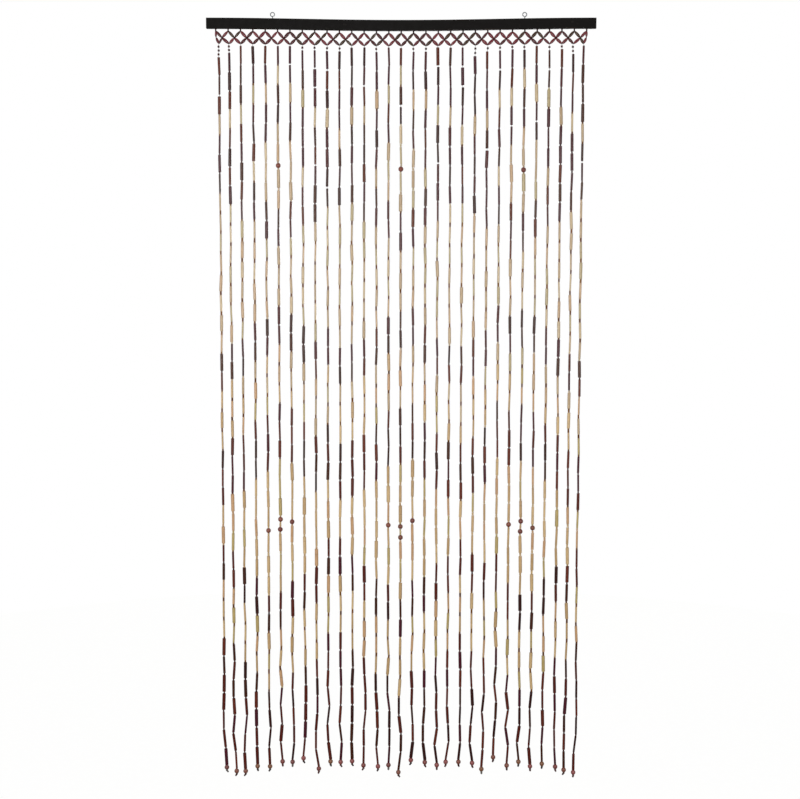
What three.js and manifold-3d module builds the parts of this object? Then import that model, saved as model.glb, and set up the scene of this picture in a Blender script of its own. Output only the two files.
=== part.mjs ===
// Bamboo bead door curtain on a painted wooden rail, hung from two screw eyes.
// Millimetres, +Z up, the front faces -Y. The origin lies midway between the centres of the two eyes' rings.
import * as THREE from "three";
import { mergeVertices } from "three/addons/utils/BufferGeometryUtils.js";
import Module from "manifold-3d";

const wasm = await Module();
wasm.setup();

// The rail: a batten whose middle dips between the eyes, set a little to the right of their midpoint.
const RAIL_LENGTH = 894;
const RAIL_HEIGHT = 24;
const RAIL_DEPTH = 10;
const RAIL_DIP = 5.2;
const RAIL_SHIFT = 6;
const RAIL_END_TOP = -7.8;
const RAIL_EDGE = 0.8;
const RAIL_STATIONS = 24;

// The screw eyes: a wire ring on a straight shank that is screwed into the top of the rail.
const EYE_SPACING = 578;
const EYE_RING_RADIUS = 4.6;
const EYE_WIRE_RADIUS = 1.15;
const EYE_SHANK_DEPTH = 12;
const EYE_SIDES = 8;
const EYE_STEPS = 20;
const CLEARANCE = 0.3;

// The heading net: string stubs, crossings and feet, measured down from the underside of the rail.
const STRING_COUNT = 31;
const STRING_PITCH = 28.36;
const NET_STUB = 5;
const NET_CROSSING = 20.5;
const NET_FOOT = 34;
const NET_BEAD_WIDTH = 6.2;
const NET_STRING_WIDTH = 2.6;
const NET_BEAD_STATIONS = [0.3, 0.7];
const FOOT_PULL = [7, 2];

// The runs at the net's two sides: slimmer beads, set towards a waist that bulges outwards.
const SIDE_BEAD_WIDTH = 4.6;
const SIDE_BEAD_STATIONS = [0.5, 0.85];
const SIDE_BULGE = 3;

// The beads on the strings: lengths and front widths. The tubes of a string's last runs are a little thicker.
const TUBE_LENGTH = 40;
const TUBE_LENGTH_SPREAD = 2.4;
const TUBE_WIDTHS = {
  D: { thin: 4.7, middle: 5.7, thick: 7, middleFrom: 0.38, thickFrom: 0.75 },
  N: { thin: 5, middle: 6.3, thick: 7.6, middleFrom: 0.4, thickFrom: 0.8 },
  S: { thin: 4.4, middle: 5.5, thick: 6.8, middleFrom: 0.42, thickFrom: 0.78 },
};
const LOW_RUNS = 3;
const LOW_GIRTH = 1.1;
const SEED_LENGTH = 4.4;
const SEED_WIDTH = 4.2;
const ROUND_LENGTH = 12;
const ROUND_WIDTH = 11.2;
const ROUND_NECK = 4.5;
const ROUND_SHOULDERS = [0.3, 0.7];
const END_BEAD_LENGTH = 11.5;
const END_BEAD_WIDTH = 11;
const TAIL_LENGTH = 7;
const TAIL_WIDTH = 4.2;
const TAIL_SWING = 3;

// The joints: the room that a spacer bead and the string's play take between two beads.
const DARK_JOINT = 3.8;
const LIGHT_JOINT = 5.9;
const STEP_WIDTH = 1.5;

// How far a joint strays from the plumb line: a little while weight hangs below it, more near the tip. The
// plumb line itself leans to the left of the rail's own square, as the rail hangs a touch out of level.
const LEAN = 0.0017;
const STRAY_TOP = 0.9;
const STRAY_TIP = 4.2;
const STRAY_DEPTH_SHARE = 0.5;
const STRAY_FROM = -1330;
const LONGEST_TIP = -1794;

// Charts of the strings from the top down, by their distance from the middle of a diamond, and then those
// of the odd strings. D is a dark tube, N a natural tube on pale spacers, S a natural tube on dark
// spacers, R a round bead and T a short natural piece. A last run of dark tubes follows each chart.
const CHARTS = [
  "D1 N1 D2 N2 R1 N2 D2 S3 D2 S3 D3 N3 R1 T1 R1 N3 D2 S3",
  "D2 N1 D2 N3 D2 S4 D2 S3 D3 N3 R1 N3 D2 S3",
  "D2 N1 D3 N1 D2 S5 D2 S3 D3 N5 D2 S3",
  "D3 N1 D5 S6 D2 S3 D3 N4 D2 S3",
  "D3 N1 D4 S7 D2 S3 D3 N3 D2 S3",
  "D4 N1 D3 S7 D2 S3 D3 N2 D2 S3",
];
const DIAMOND_STRINGS = 10;
const ODD_CHARTS = {
  0: "D3 N1 D3 S8 D2 S3 D3 N2 D2 S3",
  9: "D3 N1 D4 S6 D2 S3 D3 N3 D2 S3",
  16: "D2 N1 D2 N3 D2 S3 D2 S3 D3 N3 R1 N3 D2 S3",
  21: "D3 N1 D4 S6 D2 S3 D3 N3 D2 S3",
  22: "D3 N1 D5 S5 D2 S3 D3 N4 D2 S3",
  23: "D2 N1 D3 N1 D2 S4 D2 S3 D3 N5 D2 S3",
  24: "D2 N1 D2 N3 D3 S3 D2 S3 D3 N3 R1 N3 D2 S3",
  30: "D4 N1 D3 S8 D2 S3 D3 N2 D2 S3",
};

// Each string's seed beads at its top, the dark tubes of its last run, and how far its tip hangs above the
// longest one, with a line for each diamond.
const TOP_SEEDS = [
  [3, 2, 0, 0, 0, 0, 0, 1, 1, 1],
  [1, 0, 0, 1, 0, 0, 1, 1, 0, 0],
  [0, 2, 1, 1, 1, 1, 0, 1, 1, 2],
  [0],
].flat();
const LAST_TUBES = [
  [7, 7, 6, 5, 4, 4, 5, 5, 6, 7],
  [7, 6, 6, 5, 5, 4, 5, 5, 6, 6],
  [7, 6, 6, 6, 5, 4, 4, 5, 6, 6],
  [7],
].flat();
const TIP_RISE = [
  [13, 3, 3, 15, 15, 27, 25, 35, 8, 27],
  [25, 27, 17, 15, 17, 0, 30, 25, 17, 25],
  [25, 22, 8, 37, 17, 25, 15, 20, 13, 5],
  [0],
].flat();

// How far a string's lowest round bead hangs below the height that even joints would give it.
const ROUND_DROPS = { 4: -16, 5: -11, 15: -8, 16: 15, 25: -8, 26: -19 };

// A fixed number from 0 to 1 for a place on a string, the same on every run.
function chance(string, place, channel) {
  const wave = Math.sin(string * 127.1 + place * 311.7 + channel * 74.7) * 43758.5453;
  return wave - Math.floor(wave);
}

// Height of the rail's top edge at x, measured from the rail's middle: a raised cosine dip.
function railTop(x) {
  return RAIL_END_TOP - RAIL_DIP * 0.5 * (1 + Math.cos((2 * Math.PI * x) / RAIL_LENGTH));
}

function railUnderside(x) {
  return railTop(x) - RAIL_HEIGHT;
}

// A closed geometry as a solid that can be joined and cut.
function solidOf(geometry) {
  const bare = geometry.clone();
  bare.deleteAttribute("normal");
  bare.deleteAttribute("uv");
  const merged = mergeVertices(bare, 1e-4);
  return new wasm.Manifold(new wasm.Mesh({
    numProp: 3,
    vertProperties: new Float32Array(merged.attributes.position.array),
    triVerts: new Uint32Array(merged.index.array),
  }));
}

function geometryOf(solid) {
  const mesh = solid.getMesh();
  const geometry = new THREE.BufferGeometry();
  geometry.setAttribute("position", new THREE.BufferAttribute(mesh.vertProperties, 3));
  geometry.setIndex(new THREE.BufferAttribute(mesh.triVerts, 1));
  geometry.computeVertexNormals();
  return geometry;
}

// The section of a three-sided strand at a station: a front edge, and a left and a right edge at the back.
// Left and right are taken as the front sees them, looking along the strand.
function sectionPoints({ at, width }, along) {
  const left = new THREE.Vector3(-along.z, 0, along.x).normalize();
  const reach = width / Math.sqrt(3);
  const back = at.clone().setY(at.y + reach / 2);
  return {
    front: at.clone().setY(at.y - reach),
    left: back.clone().addScaledVector(left, width / 2),
    right: back.clone().addScaledVector(left, -width / 2),
  };
}

// One closed geometry of strands that meet at knots. A strand has stations of { at, width } and runs from
// one knot to another, and an end with no knot is capped. Strands that meet share the knot's front point
// and the corner points between them, so no join has to be cut.
function latticeGeometry(knots, strands) {
  const positions = [];
  const index = [];
  const vertex = (point) => positions.push(point.x, point.y, point.z) / 3 - 1;
  const knotSections = new Map(strands.map((strand) => [strand, {}]));
  knots.forEach((knot) => {
    const ends = strands.flatMap((strand) => [
      ...(strand.from === knot ? [{ strand, side: "from", next: strand.stations[0].at }] : []),
      ...(strand.to === knot ? [{ strand, side: "to", next: strand.stations.at(-1).at }] : []),
    ]);
    for (const end of ends) end.angle = Math.atan2(end.next.z - knot.z, end.next.x - knot.x);
    ends.sort((one, other) => one.angle - other.angle);
    const middle = sectionPoints({ at: knot, width: NET_STRING_WIDTH }, new THREE.Vector3(0, 0, -1));
    const front = vertex(middle.front);
    const corners = ends.map((end, place) => {
      const next = ends[(place + 1) % ends.length];
      const gap = THREE.MathUtils.euclideanModulo(next.angle - end.angle, 2 * Math.PI) / 2;
      const away = NET_STRING_WIDTH / 2 / Math.sin(gap);
      const across = away * Math.cos(end.angle + gap);
      const up = away * Math.sin(end.angle + gap);
      return vertex(new THREE.Vector3(knot.x + across, middle.left.y, knot.z + up));
    });
    ends.forEach(({ strand, side }, place) => {
      const after = corners[place];
      const before = corners.at(place - 1);
      const [left, right] = side === "from" ? [after, before] : [before, after];
      knotSections.get(strand)[side] = { front, left, right };
    });
    for (let corner = 1; corner < corners.length - 1; corner += 1) {
      index.push(corners[0], corners[corner + 1], corners[corner]);
    }
  });
  for (const strand of strands) {
    const path = [strand.from, ...strand.stations.map(({ at }) => at), strand.to].filter(Boolean);
    const own = strand.stations.map((station, step) => {
      const here = strand.from ? step + 1 : step;
      const before = path[Math.max(here - 1, 0)];
      const after = path[Math.min(here + 1, path.length - 1)];
      const points = sectionPoints(station, after.clone().sub(before));
      return { front: vertex(points.front), left: vertex(points.left), right: vertex(points.right) };
    });
    const { from, to } = knotSections.get(strand);
    const sections = [from, ...own, to].filter(Boolean);
    sections.slice(1).forEach((b, step) => {
      const a = sections[step];
      index.push(a.front, b.front, b.left, a.front, b.left, a.left);
      index.push(a.front, a.right, b.right, a.front, b.right, b.front);
      index.push(a.left, b.left, b.right, a.left, b.right, a.right);
    });
    const first = sections[0];
    const last = sections.at(-1);
    if (!strand.from) index.push(first.left, first.right, first.front);
    if (!strand.to) index.push(last.left, last.front, last.right);
  }
  const geometry = new THREE.BufferGeometry();
  geometry.setAttribute("position", new THREE.BufferAttribute(new Float32Array(positions), 3));
  geometry.setIndex(index);
  geometry.computeVertexNormals();
  return geometry;
}

// The beads of one string from the top down, each with its length, width and the joint above it. The joints
// stretch or close up together, so that the beads fill the room from the net to the end bead, and then those
// above and below the lowest round bead give way to each other.
function beadsOf(string, room) {
  const fromMiddle = Math.abs((string % DIAMOND_STRINGS) - DIAMOND_STRINGS / 2);
  const chart = ODD_CHARTS[string] ?? CHARTS[fromMiddle];
  const runs = [...chart.split(" "), `D${LAST_TUBES[string]}`];
  const beads = [];
  const add = (kind, girth = 1) => {
    const above = beads.at(-1);
    const light = above && "NST".includes(above.kind) && "NST".includes(kind);
    const bead = { kind, joint: light ? LIGHT_JOINT : DARK_JOINT };
    if (kind === "seed" || kind === "T") {
      bead.length = SEED_LENGTH;
      bead.width = SEED_WIDTH;
    } else if (kind === "R") {
      bead.length = ROUND_LENGTH;
      bead.width = ROUND_WIDTH;
    } else {
      const widths = TUBE_WIDTHS[kind];
      const roll = chance(string, beads.length, 1);
      bead.length = TUBE_LENGTH + TUBE_LENGTH_SPREAD * (chance(string, beads.length, 2) - 0.5);
      bead.width = widths.thin;
      if (roll > widths.middleFrom) bead.width = widths.middle;
      if (roll > widths.thickFrom) bead.width = widths.thick;
      bead.width *= girth;
    }
    beads.push(bead);
  };
  for (let seed = 0; seed < TOP_SEEDS[string]; seed += 1) add("seed");
  runs.forEach((run, place) => {
    const girth = place < runs.length - LOW_RUNS ? 1 : LOW_GIRTH;
    for (let count = 0; count < Number(run.slice(1)); count += 1) add(run[0], girth);
  });
  const lengths = beads.reduce((sum, bead) => sum + bead.length, 0);
  const stretch = (list, share) => {
    for (const bead of list) bead.joint *= share;
  };
  const jointsOf = (list) => list.reduce((sum, bead) => sum + bead.joint, 0);
  stretch(beads, (room - lengths) / jointsOf(beads));
  const drop = ROUND_DROPS[string] ?? 0;
  const belowRound = beads.findLastIndex(({ kind }) => kind === "R") + 1;
  const above = beads.slice(0, belowRound);
  const below = beads.slice(belowRound);
  stretch(above, 1 + drop / jointsOf(above));
  stretch(below, 1 - drop / jointsOf(below));
  return beads;
}

// Where a joint of a string lies: on the plumb line, but for the small sideways play of its beads.
function strayed(string, place, x, z) {
  const low = THREE.MathUtils.smoothstep(-z, -STRAY_FROM, -LONGEST_TIP);
  const stray = STRAY_TOP + (STRAY_TIP - STRAY_TOP) * low;
  const across = stray * (2 * chance(string, place, 3) - 1) + LEAN * z;
  const deep = STRAY_DEPTH_SHARE * stray * (2 * chance(string, place, 4) - 1);
  return new THREE.Vector3(x + across, deep, z);
}

// The strand of one hanging string, from its foot in the net to the end of its knotted tail. Between two
// tubes of one width a straight stretch has no section of its own, and a large step in width has two.
function hangingString(string, foot) {
  const tip = LONGEST_TIP + TIP_RISE[string];
  const endTop = tip + TAIL_LENGTH + END_BEAD_LENGTH;
  const beads = beadsOf(string, foot.z - endTop);
  const stations = [];
  let z = foot.z;
  beads.forEach((bead, place) => {
    const above = beads[place - 1] ?? { width: NET_STRING_WIDTH, kind: "net" };
    const middle = strayed(string, place, foot.x, z - bead.joint / 2);
    const section = (height, width) => stations.push({ at: middle.clone().setZ(height), width });
    const widthAbove = above.kind === "R" ? ROUND_NECK : above.width;
    const width = bead.kind === "R" ? ROUND_NECK : bead.width;
    if (Math.abs(width - widthAbove) > STEP_WIDTH) {
      section(z, widthAbove);
      section(z - bead.joint, width);
    } else if (width !== widthAbove || z < STRAY_FROM) {
      section(middle.z, (width + widthAbove) / 2);
    }
    z -= bead.joint;
    const ballTop = z;
    if (bead.kind === "R") {
      ROUND_SHOULDERS.forEach((part) => section(ballTop - bead.length * part, bead.width));
    }
    z -= bead.length;
  });
  const end = strayed(string, beads.length, foot.x, endTop);
  const swing = TAIL_SWING * (2 * chance(string, beads.length, 5) - 1);
  const endSection = (drop, width, across = 0) => stations.push({
    at: new THREE.Vector3(end.x + across, end.y, endTop - drop),
    width,
  });
  endSection(0, ROUND_NECK);
  ROUND_SHOULDERS.forEach((part) => endSection(END_BEAD_LENGTH * part, END_BEAD_WIDTH));
  endSection(END_BEAD_LENGTH, TAIL_WIDTH);
  endSection(END_BEAD_LENGTH + TAIL_LENGTH, TAIL_WIDTH, swing);
  return { from: foot, stations, to: null };
}

// The knots of the net: the stubs' lower ends, the crossings between them, and the strings' feet.
// The outer feet are drawn inwards by the shorter runs at the net's two sides.
function netKnots() {
  const middle = (STRING_COUNT - 1) / 2;
  const anchors = Array.from({ length: STRING_COUNT }, (_, string) => (string - middle) * STRING_PITCH);
  const pull = (string) => (FOOT_PULL[string] ?? 0) - (FOOT_PULL[STRING_COUNT - 1 - string] ?? 0);
  const below = (x, drop) => new THREE.Vector3(x, 0, railUnderside(x) - drop);
  return {
    tops: anchors.map((x) => below(x, CLEARANCE)),
    stubs: anchors.map((x) => below(x, NET_STUB)),
    crossings: anchors.slice(1).map((x) => below(x - STRING_PITCH / 2, NET_CROSSING)),
    feet: anchors.map((x, string) => below(x + pull(string), NET_FOOT)),
  };
}

// The stations of one rice-shaped bead on its string between two points.
function riceBead(a, b, width, parts = NET_BEAD_STATIONS) {
  return parts.map((part) => ({ at: a.clone().lerp(b, part), width }));
}

// The net and the strings as one piece: stubs under the rail, beads that cross, and strings on their feet.
function beadStrings() {
  const { tops, stubs, crossings, feet } = netKnots();
  const last = STRING_COUNT - 1;
  const bead = (from, to, string) => {
    const width = string === 0 || string === last ? SIDE_BEAD_WIDTH : NET_BEAD_WIDTH;
    return { from, stations: riceBead(from, to, width), to };
  };
  const sideRun = (string) => {
    const waist = stubs[string].clone().lerp(feet[string], 0.5);
    waist.x += string === 0 ? -SIDE_BULGE : SIDE_BULGE;
    const stations = [
      ...riceBead(stubs[string], waist, SIDE_BEAD_WIDTH, SIDE_BEAD_STATIONS),
      { at: waist, width: NET_STRING_WIDTH },
      ...riceBead(feet[string], waist, SIDE_BEAD_WIDTH, SIDE_BEAD_STATIONS).toReversed(),
    ];
    return { from: stubs[string], stations, to: feet[string] };
  };
  const strands = [
    ...stubs.map((stub, string) => ({
      from: null,
      stations: [{ at: tops[string], width: NET_STRING_WIDTH }],
      to: stub,
    })),
    ...crossings.flatMap((crossing, gap) => [
      bead(stubs[gap], crossing, gap),
      bead(stubs[gap + 1], crossing, gap + 1),
      bead(crossing, feet[gap], gap),
      bead(crossing, feet[gap + 1], gap + 1),
    ]),
    sideRun(0),
    sideRun(last),
    ...feet.map((foot, string) => hangingString(string, foot)),
  ];
  return latticeGeometry([...stubs, ...crossings, ...feet], strands);
}

// The rail's front outline carried through its depth, with eased edges.
function railSolid() {
  const half = RAIL_LENGTH / 2;
  const spacing = RAIL_LENGTH / RAIL_STATIONS;
  const stations = Array.from({ length: RAIL_STATIONS + 1 }, (_, step) => step * spacing - half);
  const outline = new THREE.Shape([
    ...stations.map((x) => new THREE.Vector2(x, railUnderside(x))),
    ...stations.toReversed().map((x) => new THREE.Vector2(x, railTop(x))),
  ]);
  const geometry = new THREE.ExtrudeGeometry(outline, {
    depth: RAIL_DEPTH - 2 * RAIL_EDGE,
    bevelSize: RAIL_EDGE,
    bevelOffset: -RAIL_EDGE,
    bevelThickness: RAIL_EDGE,
    bevelSegments: 1,
  });
  geometry.rotateX(Math.PI / 2);
  geometry.translate(0, RAIL_DEPTH / 2 - RAIL_EDGE, 0);
  return solidOf(geometry);
}

// A shank's round bar from the ring down to a depth below the rail's top at x.
function shankSolid(x, radius, depth) {
  const foot = railTop(x) - depth;
  const head = -EYE_RING_RADIUS;
  const bar = new THREE.CylinderGeometry(radius, radius, head - foot, EYE_SIDES);
  bar.rotateX(Math.PI / 2);
  bar.translate(x, 0, (head + foot) / 2);
  return solidOf(bar);
}

// One screw eye, in the rail's own x: a ring that faces the front, on its shank.
function eyeSolid(x) {
  const ring = new THREE.TorusGeometry(EYE_RING_RADIUS, EYE_WIRE_RADIUS, EYE_SIDES, EYE_STEPS);
  ring.rotateX(Math.PI / 2);
  ring.translate(x, 0, 0);
  return solidOf(ring).add(shankSolid(x, EYE_WIRE_RADIUS, EYE_SHANK_DEPTH));
}

function addPiece(group, name, geometry, colour, roughness, metalness) {
  const material = new THREE.MeshStandardMaterial({ color: colour, roughness, metalness });
  const mesh = new THREE.Mesh(geometry, material);
  mesh.name = name;
  group.add(mesh);
}

const eyePlaces = { eye_left: -EYE_SPACING / 2 - RAIL_SHIFT, eye_right: EYE_SPACING / 2 - RAIL_SHIFT };
const holeRadius = EYE_WIRE_RADIUS + CLEARANCE;
const holeDepth = EYE_SHANK_DEPTH + CLEARANCE;
const rail = Object.values(eyePlaces).reduce(
  (bar, x) => bar.subtract(shankSolid(x, holeRadius, holeDepth)),
  railSolid(),
);

const curtain = new THREE.Group();
curtain.position.x = RAIL_SHIFT;
addPiece(curtain, "rail", geometryOf(rail), "#1d1c1b", 0.55, 0);
addPiece(curtain, "bead_strings", beadStrings(), "#7b5539", 0.6, 0);
for (const [name, x] of Object.entries(eyePlaces)) {
  addPiece(curtain, name, geometryOf(eyeSolid(x)), "#a7abad", 0.35, 1);
}

const group = new THREE.Group();
group.add(curtain);

export default group;
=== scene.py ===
"""Bamboo bead door curtain on a painted wooden rail, hung from two screw eyes.

Metres, +Z up, and the front faces -Y. Every piece is a surface worked out with numpy, a profile carried
round an axis or along a path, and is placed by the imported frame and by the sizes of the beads.
"""

import logging
import math
from dataclasses import dataclass
from enum import Enum, IntEnum

import bpy
import numpy as np
from mathutils import Euler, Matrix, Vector

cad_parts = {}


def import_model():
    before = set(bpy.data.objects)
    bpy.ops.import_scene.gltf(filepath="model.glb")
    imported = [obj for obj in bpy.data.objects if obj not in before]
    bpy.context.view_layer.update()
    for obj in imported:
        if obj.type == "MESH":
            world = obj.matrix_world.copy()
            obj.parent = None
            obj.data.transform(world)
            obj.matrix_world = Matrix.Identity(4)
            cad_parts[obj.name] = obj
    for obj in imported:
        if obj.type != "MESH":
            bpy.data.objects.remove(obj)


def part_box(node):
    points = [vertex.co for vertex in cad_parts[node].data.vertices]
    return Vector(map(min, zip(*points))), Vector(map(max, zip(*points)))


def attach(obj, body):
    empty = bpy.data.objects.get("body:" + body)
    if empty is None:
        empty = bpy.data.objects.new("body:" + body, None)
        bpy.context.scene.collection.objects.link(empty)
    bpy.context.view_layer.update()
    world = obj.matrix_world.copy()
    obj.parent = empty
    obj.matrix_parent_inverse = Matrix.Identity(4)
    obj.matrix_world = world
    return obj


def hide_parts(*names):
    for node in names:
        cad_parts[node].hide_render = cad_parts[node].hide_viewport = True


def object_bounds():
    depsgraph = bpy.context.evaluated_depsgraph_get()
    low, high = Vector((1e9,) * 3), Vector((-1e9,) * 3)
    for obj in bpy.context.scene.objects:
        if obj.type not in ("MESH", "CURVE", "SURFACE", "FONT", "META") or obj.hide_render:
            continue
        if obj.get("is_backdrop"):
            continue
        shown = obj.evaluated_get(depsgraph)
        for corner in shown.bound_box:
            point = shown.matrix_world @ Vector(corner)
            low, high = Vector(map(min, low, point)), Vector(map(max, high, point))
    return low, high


LOG = logging.getLogger("bead_curtain")
MM = 0.001
BODY = "root"
STRINGS_NODE = "bead_strings"
BACKWARDS = np.array([0.0, 1.0, 0.0])
WAVE_STEPS = (127.1, 311.7, 74.7)
WAVE_HEIGHT = 43758.5453
NOISE_SPAN = (0.3, 0.7)
SINE_SPAN = (-1.0, 1.0)
GRAIN_SHIFT_MM = np.array([310.0, 170.0, 530.0])
STRING_SIDES = 6
Array = np.ndarray
Colour = tuple[float, ...]
Span = tuple[float, float]
Tree = bpy.types.NodeTree
Socket = bpy.types.NodeSocket


class BeadKind(Enum):
    """What is threaded on a string. The values of the first five are the letters of the charts."""

    DARK_TUBE = "D"
    NATURAL_TUBE = "N"
    TICKED_TUBE = "S"
    ROUND = "R"
    SHORT_PIECE = "T"
    SEED = "seed"
    DARK_SPACER = "dark spacer"
    PALE_SPACER = "pale spacer"
    END_BEAD = "end bead"


class Draw(IntEnum):
    """The draws that one place on a string has, each a number of its own."""

    WIDTH = 1
    LENGTH = 2
    ACROSS = 3
    DEEP = 4
    SWING = 5
    SPACER = 6
    TONE = 7
    LOW_TONE = 8
    TURN = 9
    OVAL = 10
    TAPER = 11
    NODE = 12
    NODE_HEIGHT = 13
    PLAY_TOP = 14
    PLAY_BOTTOM = 15
    GRAIN = 16
    GIRTH = 17


PALE_KINDS = (BeadKind.NATURAL_TUBE, BeadKind.TICKED_TUBE, BeadKind.SHORT_PIECE)


def chance(string: Array | int, place: Array | int, draw: Draw) -> Array:
    """A fixed number from 0 to 1 for a place on a string: the part of a tall sine past its whole number.

    Args:
        string: number of the string, from the left.
        place: number of the bead on its string, from the top.
        draw: which of the place's numbers it is.

    Returns:
        The numbers, in the shape of the arguments.
    """
    string_step, place_step, draw_step = WAVE_STEPS
    wave = np.sin(string * string_step + place * place_step + int(draw) * draw_step) * WAVE_HEIGHT
    return wave - np.floor(wave)


def swing(string: Array | int, place: Array | int, draw: Draw) -> Array:
    """A fixed number from -1 to 1 for a place on a string."""
    return 2 * chance(string, place, draw) - 1


def smoothstep(values: Array, start: float, end: float) -> Array:
    """A soft step from 0 at start to 1 at end: 3 s squared less 2 s cubed, with s the share of the way."""
    share = np.clip((values - start) / (end - start), 0, 1)
    return share * share * (3 - 2 * share)


def linear(hex_colour: str) -> Colour:
    """The linear colour, with full alpha, of an sRGB hex value.

    Args:
        hex_colour: the value, as # and six digits.

    Returns:
        Red, green, blue and alpha, from 0 to 1.
    """
    channels = np.array([int(hex_colour[place : place + 2], 16) for place in (1, 3, 5)]) / 255
    curve = np.where(channels <= 0.04045, channels / 12.92, ((channels + 0.055) / 1.055) ** 2.4)
    return (*curve.tolist(), 1.0)


def unit(vectors: Array) -> Array:
    """Vectors of length 1 in the same directions."""
    return vectors / np.linalg.norm(vectors, axis=-1, keepdims=True)


def ring_quads(rows: int, sides: int, closed: bool) -> Array:
    """The quads of rows of points that run round an axis, facing out where the rows go down it.

    Args:
        rows: number of rows along the axis.
        sides: number of points in a row.
        closed: whether the last row joins the first.

    Returns:
        Four point numbers for each quad.
    """
    row, side = np.meshgrid(np.arange(rows if closed else rows - 1), np.arange(sides), indexing="ij")
    below = (row + 1) % rows
    beside = (side + 1) % sides
    corners = [row * sides + side, row * sides + beside, below * sides + beside, below * sides + side]
    return np.stack(corners, axis=-1).reshape(-1, 4)


@dataclass
class Surface:
    """A mesh as arrays: points, quads, flat end caps, and marks that its finish reads at each point."""

    points: Array
    quads: Array
    caps: Array
    marks: dict[str, Array]

    @staticmethod
    def join(parts: list["Surface"]) -> "Surface":
        """One surface of several, each with its point numbers moved past those before it.

        Args:
            parts: the surfaces, all with the same marks.

        Returns:
            The joined surface.
        """
        starts = np.cumsum([0] + [len(part.points) for part in parts[:-1]])
        moved = list(zip(parts, starts))
        return Surface(
            np.concatenate([part.points for part in parts]),
            np.concatenate([part.quads + start for part, start in moved]),
            np.concatenate([part.caps + start for part, start in moved]),
            {name: np.concatenate([part.marks[name] for part in parts]) for name in parts[0].marks},
        )

    def mesh(self, name: str, sharp_deg: float) -> bpy.types.Mesh:
        """The Blender mesh, smooth but for its sharp edges.

        Args:
            name: the mesh's name.
            sharp_deg: the bend between two faces past which their edge is sharp.

        Returns:
            The new mesh, with an attribute for each of the marks.
        """
        made = bpy.data.meshes.new(name)
        corners = np.concatenate([self.quads.ravel(), self.caps.ravel()]).astype(np.int32)
        sizes = np.repeat([4, self.caps.shape[1]], [len(self.quads), len(self.caps)])
        made.vertices.add(len(self.points))
        made.loops.add(len(corners))
        made.polygons.add(len(sizes))
        made.vertices.foreach_set("co", self.points.astype(np.float32).ravel())
        made.loops.foreach_set("vertex_index", corners)
        made.polygons.foreach_set("loop_start", (np.cumsum(sizes) - sizes).astype(np.int32))
        made.update(calc_edges=True)
        made.validate()
        made.shade_smooth()
        made.set_sharp_from_angle(angle=math.radians(sharp_deg))
        kinds = {1: ("FLOAT", "value"), 3: ("FLOAT_VECTOR", "vector"), 4: ("FLOAT_COLOR", "color")}
        for mark, values in self.marks.items():
            kind, field = kinds[values.size // len(values)]
            attribute = made.attributes.new(mark, kind, "POINT")
            attribute.data.foreach_set(field, values.astype(np.float32).ravel())
        return made


def place_piece(
    name: str, surface: Surface, material: bpy.types.Material, node: str, sharp_deg: float = 50
) -> None:
    """Puts a finished piece into the scene, on the curtain's body, in the place of a node of the frame.

    Args:
        name: the piece's name.
        surface: its shape.
        material: its finish.
        node: the node that it stands for.
        sharp_deg: the bend past which an edge is sharp.
    """
    piece = bpy.data.objects.new(name, surface.mesh(name, sharp_deg))
    piece.data.materials.append(material)
    bpy.context.scene.collection.objects.link(piece)
    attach(piece, BODY)
    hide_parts(node)
    LOG.info("%s: %d points, %d faces", name, len(surface.points), len(surface.quads) + len(surface.caps))


@dataclass(frozen=True)
class Profile:
    """A bead's closed profile, with five numbers for each point.

    A point lies share times the length plus inset along the axis, and share times the radius less inset out
    from it. The rim is 1 where the bead was cut or drilled.
    """

    along_share: Array
    along_inset: Array
    out_share: Array
    out_inset: Array
    rim: Array

    @staticmethod
    def tube(chamfer_along: float, chamfer_in: float, bore_share: float) -> "Profile":
        """A cut tube: its wall from top to bottom, a chamfered end, the bore upwards, and the other end."""
        return Profile(
            np.array([0, 1, 1, 1, 0, 0]),
            np.array([chamfer_along, -chamfer_along, 0, 0, 0, 0]),
            np.array([1, 1, 1, bore_share, bore_share, 1]),
            np.array([0, 0, chamfer_in, 0, 0, chamfer_in]),
            np.array([0, 0, 1, 1, 1, 1]),
        )

    @staticmethod
    def ball(rows: int, bore_share: float, fullness: float) -> "Profile":
        """A ball or a grain: an arc from one mouth of the bore to the other, closed by the bore itself.

        Args:
            rows: number of points on the arc.
            bore_share: the bore's radius as a share of the ball's.
            fullness: 1 for a round arc, and less for fuller shoulders: the power of the arc's sine.

        Returns:
            The profile.
        """
        start = math.asin(bore_share ** (1 / fullness))
        arc = np.linspace(start, math.pi - start, rows)
        rim = np.zeros(rows)
        rim[[0, -1]] = 1
        none = np.zeros(rows)
        along = 0.5 - 0.5 * np.cos(arc) / math.cos(start)
        return Profile(along, none, np.sin(arc) ** fullness, none, rim)


@dataclass(frozen=True)
class Threaded:
    """One bead on its string: what it is, its place, the ends of its axis and its width."""

    kind: BeadKind
    string: int
    place: int
    top: Array
    bottom: Array
    width: float


def numbers(beads: list[Threaded]) -> tuple[Array, Array]:
    """The numbers of the beads' strings, and of their places on them."""
    return np.array([bead.string for bead in beads]), np.array([bead.place for bead in beads])


@dataclass(frozen=True)
class BeadForm:
    """What beads of one kind share: their profile, the steps round it, and how far they may differ.

    Oval and taper are shares of a bead's radius, node_chance is how many of the beads have a node ring, and
    the rings lie from node_from, over node_span, as shares of a bead's length.
    """

    profile: Profile
    sides: int
    oval: float = 0.05
    taper: float = 0.06
    node_chance: float = 0.0
    node_from: float = 0.2
    node_span: float = 0.6


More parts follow.
